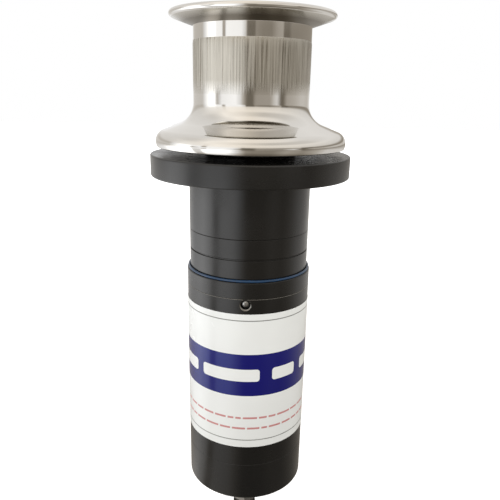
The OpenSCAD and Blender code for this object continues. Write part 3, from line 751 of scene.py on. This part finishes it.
def drum_outline():
    """The barrel's section: skirt edge, flare, waist, smooth band, then the inside."""
    inner_edge = EDGE_ROUND - DRUM_WALL
    straight = [FLARE_Z + 1, GRIP_LOW - 3] + [GRIP_LOW + i for i in range(9)]
    straight += [GRIP_LOW + 9 + (BAND_Z - 2 - GRIP_LOW - 9) * i / 6 for i in range(1, 7)]
    outside = [(EDGE_C + inner_edge + 0.6, SKIRT_Z), (EDGE_C + 7.6, SKIRT_Z)]
    outside += arc(EDGE_C, EDGE_Z, EDGE_ROUND, -27, 70, 20)
    outside += arc(FLARE_C, FLARE_Z, FLARE_ROUND, 250, 180, 22)
    outside += [(WAIST_R, z) for z in straight]
    outside += [(BAND_R + 0.06, BAND_Z - 0.2), (BAND_R, BAND_Z + 0.2), (BAND_R, BAND_Z + 0.5),
                (BAND_R, NECK_Z - 0.6), (BAND_R, NECK_Z - 0.3), (BAND_R - 0.25, NECK_Z)]
    inside = rounded([
        (UPPER_WALL_R, NECK_Z, 0), (UPPER_WALL_R, WEB_TOP, 2), (HUB_R, WEB_TOP, 2), (HUB_R, HUB_TOP, 0.4),
        (CONE_R, HUB_TOP, 0), (CONE_TIP_R, UPPER_SEAT_Z, 0), (BUSH_R, UPPER_SEAT_Z, 0),
        (BUSH_R, SEAT_Z + CONE_HEIGHT, 0), (CONE_TIP_R, SEAT_Z + CONE_HEIGHT, 0), (CONE_R, SEAT_Z, 0),
        (HUB_R, SEAT_Z, 0.4), (HUB_R, WEB_Z, 2), (WAIST_R - DRUM_WALL, WEB_Z, 2),
        (WAIST_R - DRUM_WALL, FLARE_Z, 0)])
    under = arc(FLARE_C, FLARE_Z, FLARE_ROUND + DRUM_WALL, 180, 250, 12)
    under += arc(EDGE_C, EDGE_Z, inner_edge, 70, 0, 8)
    return outside + inside[1:-2] + under


def make_drum():
    """The polished barrel, with fine upright grip lines of uneven depth round its waist."""
    lines = 138
    segments = lines * 6
    deepest = 0.05
    rng = random.Random(7)
    share = [rng.uniform(0.35, 1.0) for _ in range(lines)]
    hair = [rng.uniform(-0.015, 0.015) for _ in range(segments)]
    fade = [rng.uniform(0, 5) for _ in range(lines)]

    def grip(r, z, angle):
        """Sinks the grip lines into the waist. They fade out unevenly at its lower end."""
        if r < BAND_R + 0.01 or r > WAIST_R + 0.6 or not GRIP_LOW <= z < BAND_Z - 1:
            return r
        turn = angle / TAU
        line = int(turn * lines) % lines
        rise = min(1.0, max(0.0, (z - GRIP_LOW - fade[line]) / 4))
        wave = 0.5 - 0.5 * math.cos(turn * lines * TAU)
        return r - rise * (deepest * share[line] * wave + hair[int(turn * segments) % segments])

    mesh = lathe_mesh("drum_barrel_polished", drum_outline(), segments, grip)
    piece = link("drum_barrel_polished", mesh, MATERIALS["polished_steel"], 40)
    mesh.materials.append(GRIP_STEEL)
    for face in mesh.polygons:
        c = face.center / MM
        if GRIP_LOW + 1 < c.z < BAND_Z and c.xy.length > WAIST_R - 1:
            face.material_index = 1
    drill(piece, (DRUM_SCREWS, 2.5, NECK_Z - 13, NECK_Z + 1), sharp=40)
    place(piece, "drum", "polished_steel", "drum_barrel")


def make_top_flange():
    """The upper flange: a cone underneath, rougher near the neck and darkened there by painted shade, a
    bright rounded lip and a flat top.
    """
    lip = 2.3
    lip_c = LIP_OUTER_R - lip
    outline = rounded([
        (FLANGE_BORE_R, FLANGE_SPIGOT_Z, 0.4), (UPPER_WALL_R - 0.1, FLANGE_SPIGOT_Z, 0.4),
        (UPPER_WALL_R - 0.1, NECK_Z, 0), (BAND_R + 0.8, NECK_Z, 0.3)], 4)[:-1]
    lip_points = arc(lip_c, LIP_Z - lip, lip, -72, 90, 14)
    neck_point, lip_point = Vector(outline[-1]), Vector(lip_points[0])
    outline += [tuple(neck_point.lerp(lip_point, t)) for t in (0.02, 0.5, 0.97)]
    outline += lip_points
    outline += [(lip_c - 0.6, LIP_Z - 0.06), (lip_c - 2.2, FLANGE_FACE_Z + 0.1), (lip_c - 3, FLANGE_FACE_Z),
                (lip_c - 3.6, FLANGE_FACE_Z)]
    outline += rounded([
        (34, FLANGE_FACE_Z, 0), (FLANGE_BORE_R, FLANGE_FACE_Z, 1.4), (FLANGE_BORE_R, NECK_Z, 0)], 5)[2:-3]
    mesh = lathe_mesh("drum_top_flange_polished", outline, 288)
    piece = link("drum_top_flange_polished", mesh, MATERIALS["polished_steel"], 40)
    # The underside between the neck and the lip takes the steel with painted shade near the neck.
    mesh.materials.append(PAINTED_SHADE_UNDERSIDE_STEEL)
    for side in mesh.polygons:
        c = side.center / MM
        if side.normal.z < -0.5 and c.z > NECK_Z - 0.5 and BAND_R < c.xy.length < lip_c:
            side.material_index = 1

    def countersinks(bm):
        for at in DRUM_SCREWS:
            cylinder_mesh(bm, 2.5, FLANGE_FACE_Z - 2.7, FLANGE_FACE_Z + 0.3, at, flare=3.0)

    drill(piece, (DRUM_SCREWS, 2.7, NECK_Z - 1, LIP_Z), sharp=40)
    cut(piece, countersinks, 40)
    place(piece, "drum", "polished_steel", "drum_top_flange")


def make_drum_screws():
    """Four countersunk screws with hexagon sockets."""
    top = LIP_Z - 1
    outline = rounded([
        (0.001, NECK_Z - 12, 0), (2.2, NECK_Z - 12, 0), (2.5, NECK_Z - 11.6, 0), (2.5, top - 2.6, 0),
        (4.9, top - 0.25, 0.1), (4.9, top, 0.15), (0.001, top, 0)], 3)
    screws = []
    for at in DRUM_SCREWS:
        screw = link("screw", lathe_mesh("screw", outline, 48, centre=at), MATERIALS["fastener_steel"])
        cut(screw, lambda bm: cylinder_mesh(bm, 1.75, top - 2, top + 1, at, 6))
        screws.append(screw)
    place(merge("drum_screws_countersunk", screws), "drum", "fastener_steel", "drum_screws")


def make_clutch_nut():
    """The round nut in the drum's mouth: an eight-point handle socket and eight flutes."""
    base, top = low("clutch_nut"), high("clutch_nut")
    bore, socket_across, socket_depth = 8.05, 17.5, 10
    mesh = lathe_mesh("clutch_nut_turned", rounded([
        (bore, base, 0), (21, base, 0), (24, base + 2.2, 0.6), (24, top - 2, 1.0), (21.6, top, 0.8),
        (bore, top, 0)], 5), 192)
    piece = link("clutch_nut_turned", mesh, MATERIALS["polished_steel"])

    def socket_and_flutes(bm):
        corner = socket_across / 2 * math.sqrt(2)
        for turn in (0, math.pi / 4):
            cylinder_mesh(bm, corner, top - socket_depth, top + 1, sides=4, turn=turn + math.pi / 4)
        for at in NUT_FLUTES:
            cylinder_mesh(bm, 4, base + 6, top + 1, at)

    cut(piece, socket_and_flutes, crossing=True)
    place(piece, "clutch_nut", "polished_steel", "clutch_nut")


make_drum()
make_top_flange()
make_drum_screws()
make_clutch_nut()


# ---- Deck flange and gearbox ----

def make_base_flange():
    """The black deck flange, with its boss, the seal's seat, and deck and casing holes."""
    seal_lip_r = SEAL_R - 2
    piece = turned("deck_flange_black", [
        (BEARING_R, 0, 0.3), (FLANGE_R, 0, 1.2), (FLANGE_R, FLANGE_TOP, 1.2), (BOSS_R, FLANGE_TOP, 1.0),
        (BOSS_R, BOSS_TOP, 1.0), (SEAL_R, BOSS_TOP, 0.4), (SEAL_R, SEAL_BOTTOM, 0),
        (seal_lip_r, SEAL_BOTTOM, 0), (seal_lip_r, UPPER_BEARING_TOP, 0), (BEARING_R, UPPER_BEARING_TOP, 0)],
        "black_body", "base_flange", 320)
    drill(piece, (DECK_HOLES, 3.4, -1, FLANGE_TOP - 4), (FLANGE_SCREWS, 3.3, -1, FLANGE_TOP + 1))
    drill(piece, (FLANGE_SCREWS, 5.5, FLANGE_TOP - 7, FLANGE_TOP + 1))


def make_gearbox():
    """The upper casing, from the deck flange down to the output ring gear."""
    wall_r = 38
    seat_top = low("shaft_bearing_outer_rings") + 15
    seat_low = low("shaft_bearing_outer_rings") - 2
    piece = turned("gearbox_housing_black", [
        (wall_r, OUT_RING_Z, 0), (GEARBOX_R, OUT_RING_Z, 0.55), (GEARBOX_R, 0, 0.3), (SEAL_R, 0, 0.3),
        (SEAL_R, seat_top, 0), (BEARING_R, seat_top, 0), (BEARING_R, seat_low, 0), (wall_r, seat_low, 1.5)],
        "black_body", "gearbox_housing")
    drill(piece, (FLANGE_SCREWS, 3.0, -16, 1), (GEARBOX_BOLTS, 2.7, OUT_RING_Z - 1, 1))
    drill(piece, (GEARBOX_BOLTS, 4.6, -6, 1))


RING_TEETH = 48
MODULE = 1.5
PRESSURE = math.radians(25)
TOOTH_ROOM = 0.06


def involute(angle):
    """The involute function of a pressure angle."""
    return math.tan(angle) - angle


def ring_hole():
    """The toothed hole of a ring gear, as (radius, angle) points, with a tooth on +X."""
    pitch = RING_TEETH * MODULE / 2
    base = pitch * math.cos(PRESSURE)
    inner, outer = pitch - 0.95 * MODULE, pitch + 1.2 * MODULE
    radii = [inner + (outer - inner) * f for f in (0, 0.25, 0.5, 0.75, 1)]
    points = []
    for gap in range(RING_TEETH):
        middle = TAU * (gap + 0.5) / RING_TEETH
        for side in (-1, 1):
            for r in radii[::-side]:
                half = (math.pi / 2 / RING_TEETH + TOOTH_ROOM / pitch + involute(PRESSURE)
                        - involute(math.acos(base / max(r, base))))
                points.append((r, middle + side * half))
    return points


def make_ring_gear(name, node, z_low, z_high, top_round, low_round, groove=0.0):
    """A ring gear: a smooth turned sleeve outside and involute teeth inside. groove: a step at its top."""
    body_r = 38.4
    top = [(GEARBOX_R, z_high, top_round)]
    if groove:
        top = [(GEARBOX_R, z_high - groove, top_round), (GEARBOX_R - groove, z_high - groove, 0.1),
               (GEARBOX_R - groove, z_high, 0)]
    shell = rounded([(body_r, z_low, 0), (GEARBOX_R, z_low, low_round)] + top + [(body_r, z_high, 0)], 4)
    sleeve = link("sleeve", lathe_mesh("sleeve", shell, 256), MATERIALS["black_paint"])
    drill(sleeve, (GEARBOX_BOLTS, 2.7, z_low - 1, z_high + 1))
    bm = bmesh.new()

    def ring(points, z):
        return [bm.verts.new((r * math.cos(a) * MM, r * math.sin(a) * MM, z * MM)) for r, a in points]

    teeth = ring_hole()
    plain = [(body_r, a) for _, a in teeth]
    below, above = z_low + 0.3, z_high - 0.3
    rings = [ring(teeth, below), ring(plain, below), ring(plain, above), ring(teeth, above)]
    skin(bm, rings + rings[:1])
    toothed = link("teeth", to_mesh("teeth", bm, weld=True), MATERIALS["gear_steel"])
    place(merge(name, [sleeve, toothed]), "housing", "black_paint", node)


make_base_flange()
make_gearbox()
make_ring_gear("output_ring_gear_black", "output_ring_gear", IN_RING_Z, OUT_RING_Z, 0.35, 0.6)
make_ring_gear("input_ring_gear_black", "input_ring_gear", BELL_Z, IN_RING_Z, 0.25, 0.2, groove=0.9)


def make_seal_ring():
    """The blue ring in the corner between the gearbox and the motor."""
    section = arc(GEARBOX_R + 1, BELL_Z + 1, 1.0, 0, 360, 20)[:-1]
    mesh = lathe_mesh("blue_seal_ring", section, 256)
    piece = link("blue_seal_ring", mesh, MATERIALS["blue_rubber"], 60)
    place(piece, "housing", "blue_rubber", "gearbox_seal_ring")


make_seal_ring()


# ---- Motor ----

def make_front_bell():
    """The motor's top rim, with its spigot in the tube and a tower for the bearing."""
    spigot_z = TUBE_TOP - SPIGOT_DEPTH
    piece = turned("front_bell_black", [
        (9.5, BELL_Z - 7, 0), (15, BELL_Z - 7, 0), (15, BELL_Z, 0.3), (MOTOR_R, BELL_Z, 0.9),
        (MOTOR_R, TUBE_TOP, 0.35), (SPIGOT_R, TUBE_TOP, 0), (SPIGOT_R, spigot_z, 0.4), (39, spigot_z, 0.4),
        (39, TUBE_TOP, 1.5), (26, TUBE_TOP, 1.5), (26, spigot_z, 0.5), (20, spigot_z, 0),
        (20, TUBE_TOP + 0.1, 0), (9.5, TUBE_TOP + 0.1, 0)],
        "black_body", "motor_front_bell")

    def holes(bm):
        for at in TIE_BOLTS:
            cylinder_mesh(bm, 2.5, spigot_z - 1, TUBE_TOP + 4, at)
        for angle in BELL_SCREW_ANGLES:
            cylinder_mesh(bm, 2.0, 38.9, 49, across=(angle, BELL_SCREW_Z))

    cut(piece, holes)


def make_tube():
    """The motor's tube, with a bare-edged round recess over each bell screw."""
    inner_r = MOTOR_R - TUBE_WALL
    piece = turned("motor_tube_black", [
        (inner_r, TUBE_BOTTOM, 0.2), (MOTOR_R, TUBE_BOTTOM, 0.4), (MOTOR_R, TUBE_TOP, 0.4),
        (inner_r, TUBE_TOP, 0.2)], "black_paint", "motor_tube")
    drill_across(piece, RECESS_R, 46, 56)
    drill_across(piece, RECESS_R, MOTOR_R - RECESS_LIP, MOTOR_R + RECESS_LIP, flare=2 * RECESS_LIP)
    bare = len(piece.data.materials)
    piece.data.materials.append(BARE_EDGE)
    for side in piece.data.polygons:
        c = side.center / MM
        tilt = abs(side.normal.dot(Vector((c.x, c.y, 0)).normalized()))
        if 0.3 < tilt < 0.9 and c.xy.length > MOTOR_R - 1 and abs(c.z - BELL_SCREW_Z) < 4.8:
            side.material_index = bare


def make_bell_screws():
    """Four small round-headed screws with cross slots, pointing outwards."""
    outline = rounded([
        (0.001, -8, 0), (2, -8, 0.2), (2, 0, 0), (3.1, 0, 0.2), (3.1, 1.0, 0.3), (2.3, 1.75, 0.6),
        (1.2, 2.15, 0.8), (0.001, 2.2, 0)], 4)

    def cross(bm):
        for long, wide in ((3.4, 0.5), (0.5, 3.4)):
            made = bmesh.ops.create_cube(bm, size=1)
            size = Matrix.Diagonal((long * MM, wide * MM, 1.8 * MM, 1))
            bmesh.ops.transform(bm, matrix=Matrix.Translation((0, 0, 2.3 * MM)) @ size, verts=made["verts"])

    screws = []
    for angle in BELL_SCREW_ANGLES:
        screw = link("screw", lathe_mesh("screw", outline, 48), ZINC)
        cut(screw, cross, crossing=True)
        seat = Matrix.Translation(Vector((SPIGOT_R, 0, BELL_SCREW_Z)) * MM)
        outwards = Matrix.Rotation(math.pi / 2, 4, "Y") @ Matrix.Rotation(0.5, 4, "Z")
        screw.data.transform(Matrix.Rotation(angle, 4, "Z") @ seat @ outwards)
        screws.append(screw)
    place(merge("bell_screws_crosshead", screws), "housing", "fastener_steel", "bell_screws")


def make_end_cap():
    """The lower bell: a rounded edge, a bearing seat, and holes for tie bolts and terminals."""
    seat_z = low("brush_plate")
    spigot_z = TUBE_BOTTOM + 7.6
    seat_top = BOTTOM_Z + 18.5
    seat_floor = BOTTOM_Z + 7.5
    piece = turned("end_cap_black", [
        (0.001, BOTTOM_Z, 0), (MOTOR_R, BOTTOM_Z, 3.0), (MOTOR_R, TUBE_BOTTOM, 0.4),
        (SPIGOT_R, TUBE_BOTTOM, 0), (SPIGOT_R, spigot_z, 0.4), (46, spigot_z, 0.3), (46, seat_z, 0),
        (44, seat_z, 0), (44, CAP_FLOOR_Z, 2), (23, CAP_FLOOR_Z, 2), (23, seat_top, 0.5), (17.5, seat_top, 0),
        (17.5, seat_floor, 0), (0.001, seat_floor, 0)],
        "black_body", "motor_end_cap")
    drill(piece, (TIE_BOLTS, 2.7, BOTTOM_Z - 1, spigot_z + 1), (TERMINALS, 8, BOTTOM_Z - 1, CAP_FLOOR_Z + 1))
    drill(piece, (TIE_BOLTS, 4.6, BOTTOM_Z - 1, BOTTOM_Z + 6))


def label_patch(name, z_low, z_high, start, end, lift, material, corner=0.0):
    """A curved patch on the label from one bearing to another, in degrees, with rounded corners.

    A bearing of 0 is the front, and it grows towards the right of the front.
    """
    radius = LABEL_R + lift
    root = LABEL_R - PRINT_LIFT
    width = math.radians(end - start) * radius
    corner = min(corner, width / 2, (z_high - z_low) / 2)
    steps = max(2, int(abs(end - start) / 2))
    stops = {0.0, width} | {width * k / steps for k in range(steps + 1)}
    if corner > 0:
        rounds = [corner * (1 - math.cos(math.pi / 2 * k / 6)) for k in range(7)]
        stops |= set(rounds) | {width - along for along in rounds}
    bm = bmesh.new()
    columns = []
    for along in sorted(stops):
        edge = min(along, width - along)
        inset = corner - math.sqrt(max(0.0, corner ** 2 - (corner - edge) ** 2)) if edge < corner else 0.0
        bearing = math.radians(start) + along / radius
        below, above = z_low + inset, z_high - inset
        columns.append([
            bm.verts.new((r * math.sin(bearing) * MM, -r * math.cos(bearing) * MM, z * MM))
            for r, z in ((radius, below), (radius, above), (root, above), (root, below))])
    skin(bm, columns)
    bm.faces.new(columns[0])
    bm.faces.new(columns[-1][::-1])
    return link(name, to_mesh(name, bm, weld=True), material)


def make_label():
    """The wrapped label: a white sheet, thin borders, a blue band, plain bars and red dashes."""
    white = MATERIALS["label_vinyl"]
    sheet = label_patch("label_sheet", LABEL_BOTTOM, LABEL_TOP, -LABEL_END, LABEL_END, 0, white)
    place(sheet, "housing", "label_vinyl", "motor_label")

    border_end, half = 174, 0.4
    lines = [label_patch("line", z - half, z + half, -border_end, border_end, PRINT_LIFT, LABEL_GREY)
             for z in (LABEL_TOP - 5.6, LABEL_BOTTOM + 7)]
    place(merge("label_border_lines", lines), "housing", "label_vinyl")

    band_low, band_high, band_end = -175.4, -137.6, 170
    blue = label_patch("label_blue_band", band_low, band_high, -band_end, band_end, PRINT_LIFT, LABEL_BLUE)
    place(blue, "housing", "label_vinyl")

    middle, half = (band_low + band_high) / 2, 5.5
    bars = [label_patch("bar", middle - half, middle + half, start, end, 2 * PRINT_LIFT, white, 2.5)
            for start, end in ((-96, -52), (-44, 12), (24, 50), (60, 96))]
    place(merge("label_plain_bars", bars), "housing", "label_vinyl")

    rng = random.Random(3)
    row_end, half, space = 75.0, 0.9, 1.8
    dashes = []
    for z in (-196.5, -206.5):
        at = -row_end
        while at < row_end:
            long = rng.uniform(5, 15)
            end = min(at + long, row_end + 1)
            dashes.append(label_patch("dash", z - half, z + half, at, end, PRINT_LIFT, LABEL_RED, 0.4))
            at += long + space
    place(merge("label_red_dashes", dashes), "housing", "label_vinyl")


make_front_bell()
make_tube()
make_bell_screws()
make_end_cap()
make_label()


# ---- Terminals ----

def thread_mesh(name, radius, z_low, z_high, pitch, centre):
    """A stud with a true helical thread, which rises to its full height past the stud's tip."""
    sides = 48
    per_turn = 8
    tip = 0.8
    depth = pitch * 0.54
    rows = int((z_high - z_low) / pitch * per_turn)
    bm = bmesh.new()
    grid = []
    for k in range(rows + 1):
        z = z_low + (z_high - z_low) * k / rows
        start = min(1.0, (z - z_low) / tip)
        ring = []
        for s in range(sides):
            phase = ((z - z_low) / pitch - s / sides) % 1.0
            rise = min(1.0, max(0.0, (1 - abs(2 * phase - 1)) * 1.35 - 0.12))
            r = radius - depth * (1 - rise * start)
            a = TAU * s / sides
            at = (centre[0] + r * math.cos(a), centre[1] + r * math.sin(a), z)
            ring.append(bm.verts.new([c * MM for c in at]))
        grid.append(ring)
    skin(bm, grid)
    bm.faces.new(grid[0])
    bm.faces.new(grid[-1][::-1])
    bmesh.ops.recalc_face_normals(bm, faces=bm.faces)
    return to_mesh(name, bm)


def hex_nut_mesh(name, flats, bore, z_low, z_high, centre):
    """A hex nut with chamfered corners, made by turning a bevelled disc inside a hexagon."""
    corner = flats / 2 / math.cos(math.pi / 6)
    face_r = flats / 2 * 0.96
    disc = rounded([(bore, z_low, 0.3), (face_r, z_low, 0), (corner, z_low + 1.2, 0),
                    (corner, z_high - 1.2, 0), (face_r, z_high, 0), (bore, z_high, 0.3)], 3)

    def in_hexagon(r, z, angle):
        return min(r, flats / 2 / math.cos((angle - math.pi / 6) % (math.pi / 3) - math.pi / 6))

    return lathe_mesh(name, disc, 96, in_hexagon, centre)


def make_terminals():
    """Two threaded studs, each with two nuts, three washers and a red insulator."""
    studs, nuts, washers, insulators = [], [], [], []
    steel, red = MATERIALS["fastener_steel"], MATERIALS["red_insulator"]
    upper, lower = BOTTOM_Z - 5, BOTTOM_Z - 18.5
    moulding = rounded([
        (STUD_R, BOTTOM_Z - 3, 0.3), (11, BOTTOM_Z - 3, 0.8), (11, BOTTOM_Z, 0.3), (8, BOTTOM_Z, 0),
        (8, CAP_FLOOR_Z, 0.3), (STUD_R, CAP_FLOOR_Z, 0.3)], 4)
    for at in TERMINALS:
        studs.append(link("stud", thread_mesh("stud", STUD_R, STUD_END, CAP_FLOOR_Z + 6, 1.5, at), steel))
        for top in (upper, lower):
            nuts.append(link("nut", hex_nut_mesh("nut", 17, STUD_R, top - 8, top, at), ZINC, 25))
        for base, thick, outer in ((upper, 2, 10), (lower, 2, 10), (CAP_FLOOR_Z, 1.5, 8)):
            outline = rounded([(STUD_R, base, 0.2), (outer, base, 0.35), (outer, base + thick, 0.35),
                               (STUD_R, base + thick, 0.2)], 3)
            washers.append(link("washer", lathe_mesh("washer", outline, 96, centre=at), ZINC))
        insulators.append(link("insulator", lathe_mesh("insulator", moulding, 96, centre=at), red))
    place(merge("terminal_studs_threaded", studs), "housing", "fastener_steel", "terminal_studs")
    place(merge("terminal_nuts_hex", nuts), "housing", "fastener_steel", "terminal_nuts")
    place(merge("terminal_washers_plain", washers), "housing", "fastener_steel", "terminal_washers")
    place(merge("terminal_insulators_moulded", insulators), "housing", "red_insulator", "terminal_insulators")


def make_tie_bolts():
    """Two long socket-head bolts through the motor."""
    head = BOTTOM_Z + 6
    outline = rounded([
        (0.001, head - 5, 0), (4.25, head - 5, 0.5), (4.25, head, 0.1), (2.5, head, 0),
        (2.5, TUBE_TOP + 2, 0.3), (0.001, TUBE_TOP + 2, 0)], 4)
    bolts = []
    for at in TIE_BOLTS:
        bolt = link("bolt", lathe_mesh("bolt", outline, 48, centre=at), MATERIALS["black_fastener"])
        cut(bolt, lambda bm: cylinder_mesh(bm, 2.3, head - 6, head - 2.5, at, 6))
        bolts.append(bolt)
    place(merge("tie_bolts_socket_head", bolts), "housing", "black_fastener", "tie_bolts")


make_terminals()
make_tie_bolts()
